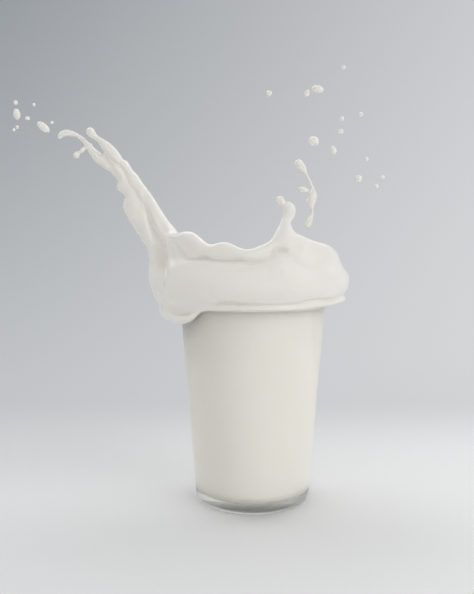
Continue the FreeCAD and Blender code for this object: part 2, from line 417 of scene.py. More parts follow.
@dataclass(frozen=True)
class Crease:
    """A line pressed into the milk, as seen from the front.

    Each point is x, height over the tumbler's rim, half width and depth. A depth under zero raises
    a ridge or a bead instead.
    """

    line: tuple[Ball, ...]
    steps: int = 6

    def depth_at(self, x: np.ndarray, z: np.ndarray) -> np.ndarray:
        """How deep the crease is at some places.

        Args:
            x: Places along X.
            z: Heights over the tumbler's rim.

        Returns:
            The depth at each place.
        """
        row = smooth_row(np.array(self.line), self.steps)
        depth = np.zeros(len(x))
        for start, end in zip(row[:-1], row[1:]):
            run = end[:2] - start[:2]
            t = ((x - start[0]) * run[0] + (z - start[1]) * run[1]) / max(float(run @ run), 1e-9)
            t = np.clip(t, 0.0, 1.0)
            gap = np.hypot(x - start[0] - t * run[0], z - start[1] - t * run[1])
            width, most = start[2] + t * (end[2] - start[2]), start[3] + t * (end[3] - start[3])
            fresh = most * np.exp(-(gap / width) ** 2)
            depth = np.where(np.abs(fresh) > np.abs(depth), fresh, depth)
        return depth


# ---------------------------------------------------------------------------------------------
# Node trees
# ---------------------------------------------------------------------------------------------


class NodeWriter:
    """A short way to write a node tree."""

    def __init__(self, tree: bpy.types.NodeTree) -> None:
        """Starts with an empty tree."""
        self.tree = tree
        self.tree.nodes.clear()

    def add(self, kind: str, inputs: dict | None = None, **settings: object) -> bpy.types.Node:
        """Adds a node.

        Args:
            kind: The node's type.
            inputs: Values or sockets for its inputs, by name or number.
            **settings: The node's own settings.

        Returns:
            The node.
        """
        node = self.tree.nodes.new(kind)
        for key, value in settings.items():
            setattr(node, key, value)
        for key, value in (inputs or {}).items():
            if isinstance(value, bpy.types.NodeSocket):
                self.tree.links.new(value, node.inputs[key])
            else:
                node.inputs[key].default_value = value
        return node

    def blend(self, share: bpy.types.NodeSocket, one: object, other: object) -> bpy.types.NodeSocket:
        """Mixes two colours, by how much of the other there is."""
        inputs = {0: share, 6: one, 7: other}
        return self.add("ShaderNodeMix", inputs, data_type="RGBA").outputs[2]

    def grade(self, value: bpy.types.NodeSocket, low: float, high: float, most: float = 1.0,
              kind: str = "LINEAR") -> bpy.types.NodeSocket:
        """Spreads the values from low to high over 0 to most, and holds those beyond at the ends."""
        inputs = {"Value": value, "From Min": low, "From Max": high, "To Max": most}
        return self.add("ShaderNodeMapRange", inputs, interpolation_type=kind).outputs[0]

    def combine(self, kind: str, one: object, other: object) -> bpy.types.NodeSocket:
        """Adds or multiplies two values, as the kind says."""
        return self.add("ShaderNodeMath", {0: one, 1: other}, operation=kind).outputs[0]


class Maker(NodeWriter):
    """A geometry node tree with named inputs, run on a mesh and then taken off it."""

    def __init__(self, name: str, inputs: dict[str, str]) -> None:
        """Starts a tree.

        Args:
            name: The tree's name.
            inputs: The kind of socket of each named input.
        """
        super().__init__(bpy.data.node_groups.new(name, "GeometryNodeTree"))
        face = self.tree.interface
        face.new_socket("Geometry", in_out="INPUT", socket_type="NodeSocketGeometry")
        for label, kind in inputs.items():
            face.new_socket(label, in_out="INPUT", socket_type=f"NodeSocket{kind}")
        face.new_socket("Geometry", in_out="OUTPUT", socket_type="NodeSocketGeometry")
        self.given = self.add("NodeGroupInput").outputs

    def end(self, geometry: bpy.types.NodeSocket) -> None:
        """Realizes the instances, sets the material and closes the tree.

        Args:
            geometry: What the tree has made.
        """
        real = self.add("GeometryNodeRealizeInstances", {"Geometry": geometry}).outputs[0]
        smooth = self.add("GeometryNodeSetShadeSmooth", {"Geometry": real}).outputs[0]
        dressed = self.add("GeometryNodeSetMaterial", {"Geometry": smooth,
                                                       "Material": self.given["Material"]})
        self.add("NodeGroupOutput", {0: dressed.outputs[0]})

    def run(self, name: str, seed_mesh: bpy.types.Mesh, **values: object) -> bpy.types.Object:
        """Runs the tree on a mesh.

        Args:
            name: Name of the object to make.
            seed_mesh: The mesh that the tree starts from.
            **values: Values of the named inputs, with _ for a space.

        Returns:
            A plain mesh object with no modifier.
        """
        made = bpy.data.objects.new(name, seed_mesh)
        bpy.context.scene.collection.objects.link(made)
        modifier = made.modifiers.new(name, "NODES")
        modifier.node_group = self.tree
        sockets = {item.name: item.identifier for item in self.tree.interface.items_tree
                   if item.in_out == "INPUT"}
        for label, value in values.items():
            modifier[sockets[label.replace("_", " ")]] = value
        graph = bpy.context.evaluated_depsgraph_get()
        whole = bpy.data.meshes.new_from_object(made.evaluated_get(graph))
        made.modifiers.clear()
        made.data = whole
        whole.name = name
        return made


# ---------------------------------------------------------------------------------------------
# Tumbler
# ---------------------------------------------------------------------------------------------


@dataclass(frozen=True)
class Tumbler:
    """Sizes of the glass that the milk fits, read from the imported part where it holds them."""

    height: float
    rim_radius: float
    foot_radius: float = 32.8
    wall: float = 2.2
    base: float = 6.0
    inside_round: float = 5.0

    @classmethod
    def measured(cls, node: str) -> "Tumbler":
        """Takes the height and the rim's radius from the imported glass."""
        low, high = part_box(node)
        return cls(height=high.z / MM, rim_radius=high.x / MM)

    def outside(self, z: np.ndarray | float) -> np.ndarray | float:
        """Radius of the outside at a height."""
        return self.foot_radius + (self.rim_radius - self.foot_radius) * z / self.height

    def inside(self, z: np.ndarray | float) -> np.ndarray | float:
        """Radius of the inside at a height."""
        return self.outside(z) - self.wall


@dataclass
class TurnedGlass:
    """The tumbler's glass, turned from its outline about the axis."""

    tumbler: Tumbler
    heel_round: float = 3.5
    rim_round: float = 1.05
    hollow: float = 0.9
    bearing: float = 7.5
    hollow_round: float = 20.0
    round_steps: int = 9
    facets: int = 180
    turning_radius: float = 20.0
    weld: float = 0.005

    def outline(self) -> list[tuple[float, float]]:
        """Goes round the glass from the middle of the foot to the middle of the bore.

        Returns:
            Radius and height of each point of the outline.
        """
        tumbler = self.tumbler
        corners = [(0.0, self.hollow, 0.0),
                   (tumbler.foot_radius - self.bearing, 0.0, self.hollow_round),
                   (tumbler.foot_radius, 0.0, self.heel_round),
                   (tumbler.rim_radius, tumbler.height, self.rim_round),
                   (tumbler.inside(tumbler.height), tumbler.height, self.rim_round),
                   (tumbler.inside(tumbler.base), tumbler.base, tumbler.inside_round),
                   (0.0, tumbler.base, 0.0)]
        points = [corners[0][:2]]
        for before, corner, after in zip(corners[:-2], corners[1:-1], corners[2:]):
            places = (Vector(place[:2]) for place in (before, corner, after))
            points += self.rounded(*places, corner[2])
        return points + [corners[-1][:2]]

    def rounded(self, before: Vector, corner: Vector, after: Vector,
                radius: float) -> list[tuple[float, float]]:
        """Rounds a corner between two straight sides.

        Args:
            before: The other end of the side that comes to the corner.
            corner: The corner.
            after: The other end of the side that leaves it.
            radius: Radius of the arc.

        Returns:
            Points of the arc.
        """
        back, on = (before - corner).normalized(), (after - corner).normalized()
        half = back.angle(on) / 2
        centre = corner + (back + on).normalized() * (radius / math.sin(half))
        first = corner + back * (radius / math.tan(half)) - centre
        last = corner + on * (radius / math.tan(half)) - centre
        points = []
        for k in range(self.round_steps + 1):
            spoke = first.lerp(last, k / self.round_steps).normalized() * radius
            points.append(tuple(centre + spoke))
        return points

    def build(self, finish: bpy.types.Material) -> bpy.types.Object:
        """Makes the glass.

        Args:
            finish: The glass's material.

        Returns:
            The glass as one closed mesh object.
        """
        spokes = [((r - self.turning_radius) * MM, -z * MM, 0.0)
                  for r, z in reversed(self.outline())]
        outline = bpy.data.meshes.new("outline")
        outline.from_pydata(spokes, [(k, k + 1) for k in range(len(spokes) - 1)], [])
        maker = Maker("turned_on_an_axis", {"Turning Radius": "Float", "Facets": "Int",
                                            "Weld": "Float", "Material": "Material"})
        profile = maker.add("GeometryNodeMeshToCurve", {"Mesh": maker.given["Geometry"]}).outputs[0]
        path = maker.add("GeometryNodeCurvePrimitiveCircle", {
            "Resolution": maker.given["Facets"], "Radius": maker.given["Turning Radius"]}).outputs[0]
        wall = maker.add("GeometryNodeCurveToMesh", {"Curve": path, "Profile Curve": profile})
        welded = maker.add("GeometryNodeMergeByDistance", {
            "Geometry": wall.outputs[0], "Distance": maker.given["Weld"]}).outputs[0]
        maker.end(welded)
        return maker.run("tumbler_glass", outline, Turning_Radius=self.turning_radius * MM,
                         Facets=self.facets, Weld=self.weld * MM, Material=finish)


# ---------------------------------------------------------------------------------------------
# Milk
# ---------------------------------------------------------------------------------------------


@dataclass(frozen=True)
class Around:
    """A value that changes smoothly all the way round the tumbler.

    Its stations are pairs of a direction in degrees, from +X by way of the back, and a value.
    """

    stations: tuple[tuple[float, float], ...]
    steps: int = 720

    def __call__(self, turn: np.ndarray) -> np.ndarray:
        """Reads the value off a smooth curve through the stations.

        Args:
            turn: Directions in degrees.

        Returns:
            The value in each direction.
        """
        at = np.array([a for a, _ in self.stations])
        value = np.array([v for _, v in self.stations])
        at = np.concatenate([at[-2:] - 360.0, at, at[:3] + 360.0])
        value = np.concatenate([value[-2:], value, value[:3]])
        slope = np.gradient(value, at)
        place = np.arange(self.steps + 1) * 360.0 / self.steps
        k = np.clip(np.searchsorted(at, place, "right") - 1, 0, len(at) - 2)
        span = at[k + 1] - at[k]
        t = (place - at[k]) / span
        curve = ((2 * t**3 - 3 * t**2 + 1) * value[k] + (t**3 - 2 * t**2 + t) * slope[k] * span
                 + (3 * t**2 - 2 * t**3) * value[k + 1] + (t**3 - t**2) * slope[k + 1] * span)
        return np.interp(turn % 360.0, place, curve)


@dataclass
class Crown:
    """The wall of milk that stands over the rim: its lip, its bulge, its crease and its rolled rim.

    Heights are over the tumbler's rim and radii from its axis. The shoulder's balls are a distance
    from the bore, a height and a radius. The wall swells above and below its bulge, the backing is
    the ball behind the lower swell, and the hold is the ball by which the lip grips the glass.
    """

    rim_top: Around = Around(((0, 25.0), (25, 24.0), (50, 26.5), (75, 30.0), (97, 27.0),
                              (120, 31.0), (142, 35.0), (162, 38.0), (180, 39.0), (198, 39.5),
                              (213, 39.8), (226, 39.8), (240, 33.2), (251, 34.2), (265, 30.4),
                              (277, 33.5), (289, 38.0), (300, 38.2), (312, 35.4), (328, 33.4),
                              (342, 30.4)))
    rim_at: Around = Around(((0, 46.6), (50, 45.0), (97, 44.5), (142, 46.0), (180, 50.0),
                             (213, 48.0), (240, 46.5), (265, 46.0), (289, 43.5), (312, 45.4),
                             (342, 46.6)))
    rim_radius: Around = Around(((0, 2.6), (90, 2.6), (180, 3.8), (226, 3.8), (251, 3.3), (265, 3.1),
                                 (289, 3.3), (312, 3.0)))
    crease_height: Around = Around(((0, 19.0), (50, 20.0), (97, 20.0), (142, 25.0), (180, 27.0),
                                    (215, 26.6), (236, 25.8), (255, 24.6), (270, 24.6), (288, 29.5),
                                    (302, 25.0), (325, 22.0)))
    crease_depth: Around = Around(((0, 0.0), (50, 0.8), (97, 1.2), (142, 1.0), (180, 0.6),
                                   (204, 3.2), (218, 2.4), (250, 2.4), (270, 2.4), (290, 3.2),
                                   (303, 1.6), (325, 0.2)))
    bulge_at: Around = Around(((0, 55.4), (45, 53.0), (90, 51.9), (135, 54.5), (165, 58.0),
                               (180, 59.0), (195, 58.0), (215, 55.5), (240, 53.0), (270, 51.6),
                               (300, 52.6), (330, 54.2)))
    bulge_height: Around = Around(((0, 14.5), (90, 12.0), (180, 16.0), (225, 13.5), (270, 12.0),
                                   (320, 13.0)))
    neck_at: Around = Around(((0, 52.4), (22, 51.0), (45, 48.5), (90, 46.6), (150, 50.0), (180, 54.4),
                              (195, 52.6), (207, 49.6), (220, 47.0), (245, 45.6), (270, 45.4),
                              (315, 46.8), (337, 49.8)))
    neck_height: Around = Around(((0, 6.6), (22, 5.8), (45, 4.0), (90, 2.6), (150, 3.0), (180, 3.6),
                                  (195, 1.6), (207, 0.2), (220, 1.2), (245, 2.3), (270, 2.3),
                                  (315, 2.8), (337, 4.6)))
    lip_at: Around = Around(((0, 53.0), (22, 51.4), (45, 48.8), (90, 46.8), (150, 50.2), (178, 54.0),
                             (190, 53.6), (205, 51.2), (217, 49.0), (230, 46.8), (250, 46.2),
                             (270, 46.2), (315, 47.2), (337, 50.4), (352, 53.6)))
    lip_foot: Around = Around(((0, 1.6), (45, -0.6), (90, -1.0), (150, -2.2), (178, -4.8),
                               (192, -8.4), (207, -10.0), (219, -8.2), (231, -2.6), (250, -1.2),
                               (300, -0.8), (330, 0.6), (352, 1.8)))
    lip_radius: Around = Around(((0, 1.4), (45, 1.3), (90, 1.3), (150, 2.0), (178, 3.2), (192, 4.6),
                                 (207, 5.2), (219, 4.2), (231, 1.8), (250, 1.25), (300, 1.2),
                                 (330, 1.25), (352, 1.5)))
    shoulder: tuple[tuple[float, float, float], ...] = (
        (-10.0, -10.5, 3.6), (-4.0, -6.0, 3.8), (0.6, 1.7, 2.8))
    wall: float = 2.2
    skin: float = 1.9
    lower_swell: float = 1.0
    upper_swell: float = 0.8
    backing_inset: float = 1.5
    backing_extra: float = 0.4
    hold_depth: float = 0.6
    hold_lift: float = 0.6
    hold_rise: float = 1.2
    hold_size: float = 0.8
    wall_steps: int = 4
    filling_steps: int = 3
    neck: float = 4.0
    outer: float = 66.0
    inner: float = 24.0
    lowest: float = -18.0
    highest: float = 46.0

    def pour_into(self, liquid: LiquidField, tumbler: Tumbler) -> None:
        """Adds the crown, and the shoulder of milk that carries it, to the field.

        Args:
            liquid: The field that takes the crown.
            tumbler: The glass that the crown stands over.
        """
        rim = tumbler.height
        part = liquid.window((-self.outer, -self.outer, rim + self.lowest),
                             (self.outer, self.outer, rim + self.highest))
        x, y, z = liquid.places(part)
        radius, turn = np.hypot(x, y)[..., 0], np.degrees(np.arctan2(y, x))[..., 0]
        near = (radius > self.inner) & (radius < self.outer)
        r, z = radius[near][:, None], z[0] - rim
        knots = self.section(turn[near], tumbler)
        distance = np.full((r.shape[0], z.shape[1]), FAR, np.float32)
        for chain, steps in knots:
            curve = self.refine(chain, steps)
            for start, end in zip(curve[:-1], curve[1:]):
                distance = np.minimum(distance, self.between(start, end, r, z))
        block = liquid.values[part]
        columns = block[near]
        block[near] = run_together(columns, distance, self.neck)
        liquid.values[part] = block

    def section(self, turn: np.ndarray, tumbler: Tumbler) -> list[tuple[np.ndarray, int]]:
        """Rows of balls that make the crown's section in each direction.

        Args:
            turn: Directions in degrees.
            tumbler: The glass that the crown stands over.

        Returns:
            Rows of (radius, height, ball radius) for each direction, with how finely to fill each.
        """
        rim_at, rim_radius, top = self.rim_at(turn), self.rim_radius(turn), self.rim_top(turn)
        crease_height, bulge_at = self.crease_height(turn), self.bulge_at(turn)
        bulge_height, neck_at = self.bulge_height(turn), self.neck_at(turn)
        neck_height, lip_radius = self.neck_height(turn), self.lip_radius(turn)
        crease_at = (rim_at + rim_radius + bulge_at) / 2 - self.crease_depth(turn)
        bore = np.full_like(turn, tumbler.rim_radius - tumbler.wall)
        one = np.ones_like(turn)
        wall = [(self.lip_at(turn) - lip_radius, self.lip_foot(turn) + lip_radius, lip_radius),
                (neck_at - self.skin, neck_height, self.skin * one),
                ((neck_at + bulge_at) / 2 + self.lower_swell - self.wall,
                 (neck_height + bulge_height) / 2, self.wall * one),
                (bulge_at - self.wall, bulge_height, self.wall * one),
                ((bulge_at + crease_at) / 2 + self.upper_swell - self.wall,
                 (bulge_height + crease_height) / 2, self.wall * one),
                (crease_at - self.skin, crease_height, self.skin * one),
                (rim_at, top - rim_radius, rim_radius)]
        shoulder = [(bore + at, height * one, radius * one) for at, height, radius in self.shoulder]
        over_rim = shoulder[-1]
        shoulder.append(((neck_at + bulge_at) / 2 - self.backing_inset - self.wall,
                         (neck_height + bulge_height) / 2, (self.wall + self.backing_extra) * one))
        lip_foot = self.lip_foot(turn)
        hold = (tumbler.outside(tumbler.height + np.minimum(lip_foot, 0.0)) - self.hold_depth,
                lip_foot + self.hold_rise * lip_radius + self.hold_lift,
                self.hold_size * lip_radius)
        fillings = (shoulder, [wall[0], hold], [wall[1], over_rim], [wall[0], over_rim])
        return ([(np.array(wall), self.wall_steps)]
                + [(np.array(filling), self.filling_steps) for filling in fillings])

    @staticmethod
    def refine(chain: np.ndarray, steps: int) -> np.ndarray:
        """Fills a row of balls out along a smooth curve."""
        count, size, directions = chain.shape
        return smooth_row(chain.reshape(count, -1), steps).reshape(-1, size, directions)

    @staticmethod
    def between(start: np.ndarray, end: np.ndarray, r: np.ndarray, z: np.ndarray) -> np.ndarray:
        """Distance to the liquid between two balls of a section.

        Args:
            start: Radius, height and ball radius of the first ball in each direction.
            end: The same of the second.
            r: Radius of each column of places.
            z: Heights of the places.

        Returns:
            Distances, one row for each direction.
        """
        start, end = start[..., None].astype(np.float32), end[..., None].astype(np.float32)
        dr, dz = end[0] - start[0], end[1] - start[1]
        pr, pz = r - start[0], z - start[1]
        t = np.clip((pr * dr + pz * dz) / (dr * dr + dz * dz + 1e-6), 0.0, 1.0)
        return np.hypot(pr - t * dr, pz - t * dz) - (start[2] + t * (end[2] - start[2]))


@dataclass
class Jet:
    """The leaning jet: a sheet with two thick edges that parts into two fingers.

    Every ball is x, y, height over the tumbler's rim, and radius. A row of the sheet runs from its
    left edge to its right one, and its third ball lies in the fold between them.
    """

    sheet: tuple[tuple[Ball, ...], ...] = (
        ((-78.1, -1.5, 76.6, 1.8), (-76.6, -3.0, 77.3, 2.3), (-76.2, 1.0, 78.8, 1.4),
         (-74.1, -3.2, 79.0, 2.6), (-73.1, -2.0, 80.2, 2.2)),
        ((-75.2, -1.5, 71.8, 1.5), (-73.5, -3.2, 72.7, 2.2), (-73.0, 0.6, 74.3, 1.6),
         (-71.1, -3.4, 74.3, 2.8), (-70.2, -2.2, 75.1, 2.4)),
        ((-75.6, -2.0, 67.0, 1.9), (-72.7, -3.4, 68.5, 2.3), (-70.8, -0.6, 70.4, 2.0),
         (-68.7, -3.8, 70.9, 2.8), (-67.4, -2.4, 72.1, 2.4)),
        ((-71.9, -2.4, 61.8, 1.5), (-68.6, -3.8, 63.8, 2.4), (-66.1, -1.6, 66.1, 2.2),
         (-64.8, -4.4, 66.4, 2.8), (-64.1, -2.8, 67.2, 2.4)),
        ((-72.5, -3.0, 56.2, 1.9), (-67.4, -4.6, 59.2, 2.4), (-63.5, -1.8, 62.3, 2.0),
         (-62.0, -5.2, 62.6, 2.9), (-61.3, -3.4, 63.4, 2.5)),
        ((-69.9, -4.0, 49.8, 1.8), (-64.5, -5.8, 53.0, 2.4), (-60.3, -2.4, 56.5, 2.0),
         (-58.5, -6.2, 56.9, 3.0), (-57.6, -4.2, 57.9, 2.6)),
        ((-66.0, -5.0, 44.0, 1.8), (-61.2, -7.0, 46.9, 2.4), (-57.7, -3.0, 50.0, 2.0),
         (-55.3, -7.4, 50.7, 3.1), (-53.9, -5.4, 51.9, 2.7)),
        ((-62.0, -6.4, 37.7, 1.8), (-57.9, -8.6, 40.1, 2.4), (-55.1, -3.6, 42.8, 2.0),
         (-52.0, -9.0, 44.0, 3.3), (-49.9, -7.0, 45.6, 2.9)),
        ((-58.3, -8.0, 32.5, 1.9), (-54.8, -10.6, 34.3, 2.4), (-52.7, -4.4, 36.2, 2.0),
         (-48.4, -12.0, 37.6, 3.6), (-45.2, -10.0, 39.5, 3.2)),
        ((-56.8, -9.5, 26.3, 2.0), (-53.0, -13.0, 27.8, 2.5), (-50.8, -6.5, 29.3, 2.0),
         (-46.3, -17.0, 30.3, 3.6), (-43.2, -15.0, 31.7, 3.4)),
        ((-55.5, -10.5, 19.3, 2.2), (-51.9, -14.5, 20.4, 2.6), (-49.8, -9.0, 21.3, 2.2),
         (-45.5, -20.0, 21.8, 3.4), (-42.5, -19.0, 22.2, 3.4)),
        ((-53.9, -11.0, 11.2, 2.4), (-51.3, -16.0, 12.4, 2.8), (-49.7, -14.0, 13.3, 2.6),
         (-45.8, -21.0, 13.1, 3.2), (-42.8, -21.0, 12.8, 3.2)),
        ((-51.5, -11.0, 4.4, 2.6), (-49.7, -15.0, 5.2, 2.8), (-48.5, -15.5, 5.8, 2.8),
         (-45.6, -19.0, 5.6, 2.8), (-43.1, -20.0, 5.3, 2.8)))
    upper_finger: tuple[Ball, ...] = (
        (-73.0, -2.6, 73.3, 2.7), (-75.2, -2.4, 77.3, 3.0), (-77.0, -2.2, 80.9, 3.4),
        (-79.6, -2.0, 84.8, 3.7), (-82.7, -1.8, 88.8, 3.2), (-85.8, -1.6, 92.1, 2.3),
        (-88.4, -1.4, 94.4, 1.7), (-90.6, -1.4, 96.0, 1.8), (-92.0, -1.4, 97.4, 2.4),
        (-92.7, -1.4, 98.4, 2.6))
    lower_finger: tuple[Ball, ...] = (
        (-74.2, -2.0, 69.4, 2.2), (-77.8, -1.2, 74.6, 2.2), (-81.1, -0.6, 78.0, 2.4),
        (-84.8, -0.2, 80.9, 2.9), (-88.5, 0.4, 83.9, 3.1), (-91.9, 0.8, 87.5, 2.4),
        (-94.7, 1.2, 91.0, 1.8), (-97.5, 1.6, 94.3, 1.6), (-101.0, 2.0, 97.0, 1.35),
        (-104.4, 2.0, 98.2, 1.7), (-107.3, 2.0, 98.5, 1.95), (-110.0, 2.0, 97.8, 1.8),
        (-111.4, 2.0, 96.0, 1.3))
    knob: tuple[Ball, ...] = ((-74.0, -2.4, 67.6, 2.2), (-76.0, -2.2, 67.0, 2.1))
    side_bead: tuple[Ball, ...] = (
        (-93.4, 1.0, 91.6, 1.2), (-95.2, 0.8, 90.6, 1.0), (-96.7, 0.6, 89.7, 1.0),
        (-98.0, 0.4, 88.4, 1.45), (-99.6, 0.2, 87.0, 0.95), (-101.3, 0.0, 85.5, 2.0))
    steps_along: int = 12
    steps_across: int = 3
    finger_steps: int = 5
    neck: float = 5.0
    finger_necks: tuple[float, ...] = (1.4, 1.2, 1.0, 1.0)

    def pour_into(self, liquid: LiquidField, rim: float) -> None:
        """Adds the jet and its fingers to the field.

        Args:
            liquid: The field that takes the jet.
            rim: Height of the tumbler's rim.
        """
        rows = lifted(self.sheet, rim)
        count, width, size = rows.shape
        rows = smooth_row(rows.reshape(count, -1), self.steps_along).reshape(-1, width, size)
        liquid.pour([smooth_row(row, self.steps_across) for row in rows], self.neck)
        fingers = (self.upper_finger, self.lower_finger, self.side_bead, self.knob)
        for finger, finger_neck in zip(fingers, self.finger_necks):
            liquid.pour([smooth_row(lifted(finger, rim), self.finger_steps)], finger_neck)


@dataclass
class Peak:
    """The small peak on the crown's rim, with a bead drawn off to one side of its top."""

    balls: tuple[Ball, ...] = (
        (14.6, -40.0, 33.0, 4.6), (15.0, -40.4, 37.0, 4.8), (15.5, -40.0, 41.0, 3.6),
        (15.9, -39.2, 44.4, 2.7), (17.1, -38.4, 46.9, 2.7), (18.0, -38.0, 49.6, 3.4),
        (17.4, -38.0, 52.0, 3.1), (14.8, -38.0, 53.4, 1.7), (13.1, -38.0, 56.0, 2.3))
    steps: int = 5
    neck: float = 5.0

    def pour_into(self, liquid: LiquidField, rim: float) -> None:
        """Adds the peak to the field, over a rim at a height."""
        liquid.pour([smooth_row(lifted(self.balls, rim), self.steps)], self.neck)


UNDER_THE_RIM = Crease(((-41.0, 30.4, 0.8, 0.6), (-36.6, 26.4, 1.1, 1.5), (-32.3, 25.8, 1.1, 1.7),
                        (-27.4, 26.3, 1.2, 2.6), (-21.0, 25.2, 1.0, 1.9), (-13.0, 24.7, 1.0, 2.1),
                        (-7.9, 24.8, 1.0, 2.2), (-2.1, 24.0, 1.1, 2.4), (4.9, 25.8, 1.2, 1.5),
                        (9.3, 28.2, 1.3, 1.6)))
UNDER_THE_PEAK = Crease(((9.3, 28.2, 1.6, 1.2), (12.4, 29.4, 1.9, 3.0), (15.2, 29.4, 1.7, 2.8),
                         (17.8, 27.6, 1.5, 1.2), (21.5, 24.8, 1.2, 0.4)))
SECOND_FOLD = Crease(((-33.0, 23.4, 1.0, 0.2), (-24.0, 20.4, 1.3, 0.6), (-16.9, 20.2, 1.3, 0.6),
                      (-6.6, 20.4, 1.2, 0.5), (0.0, 21.6, 1.2, 0.3)))
SECOND_FOLD_RIGHT = Crease(((3.4, 23.4, 1.2, 0.3), (6.4, 20.6, 1.6, 0.6), (6.9, 16.9, 1.8, 0.3)))
OVER_THE_LIP = Crease(((-24.0, 1.2, 0.9, 0.4), (-17.0, 2.1, 1.1, 1.6), (-13.1, 2.4, 1.1, 1.8),
                       (-8.0, 2.1, 1.0, 1.6), (-1.4, 2.0, 0.9, 1.3), (6.0, 1.6, 0.9, 0.9),
                       (16.0, 2.0, 0.9, 0.9), (26.0, 2.4, 0.9, 0.8)))
RIGHT_LIP = Crease(((26.0, 3.2, 0.8, 0.5), (33.7, 3.8, 0.9, 1.3), (40.7, 3.6, 0.9, 1.2),
                    (45.2, 4.0, 0.8, 0.7)))
LOBE_HOLLOW = Crease(((-47.0, -2.0, 1.6, 0.8), (-43.5, -2.9, 2.2, 3.0), (-38.8, -3.2, 2.5, 3.8),
                      (-35.1, -3.4, 2.2, 2.6), (-31.5, -3.2, 1.3, 0.6)))
FOLD_BY_THE_JET = Crease(((-51.8, 38.0, 2.6, 1.2), (-51.2, 30.0, 3.2, 4.0), (-50.6, 22.0, 2.8, 4.2),
                          (-49.8, 15.0, 1.9, 2.5), (-49.2, 10.5, 1.0, 0.4)))
JET_FOLD = Crease(((-61.4, 64.0, 1.5, 0.3), (-59.4, 55.5, 2.0, 0.7), (-57.3, 46.6, 2.1, 0.8),
                   (-55.6, 39.5, 2.0, 0.9), (-54.8, 33.0, 1.9, 0.8), (-54.6, 24.0, 1.4, 0.4)))
JET_STREAK = Crease(((-64.4, 62.0, 1.2, -0.3), (-62.2, 53.0, 1.4, -0.7), (-59.6, 44.0, 1.4, -0.6),
                     (-57.8, 38.0, 1.2, -0.3)))
JET_RIDGE = Crease(((-55.6, 52.5, 1.0, 0.3), (-51.0, 45.0, 1.2, 0.7), (-46.6, 38.0, 1.2, 0.8),
                    (-41.2, 31.6, 1.1, 0.8), (-36.9, 28.0, 1.0, 0.6)))
FORK = Crease(((-85.4, 87.7, 0.8, 0.3), (-80.6, 82.8, 1.0, 0.8), (-75.6, 78.4, 1.3, 1.2),
               (-72.4, 74.6, 1.5, 1.5), (-71.0, 71.0, 1.3, 0.5)))
BEADS = tuple(Crease(((x, z, size, -rise), (x + 0.2, z, size, -rise)), 1)
              for x, z, size, rise in ((14.4, 17.6, 0.9, 0.8), (18.4, 17.2, 0.8, 0.6),
                                       (-73.9, 71.8, 1.1, 0.9), (-50.8, 35.0, 1.0, 0.7)))


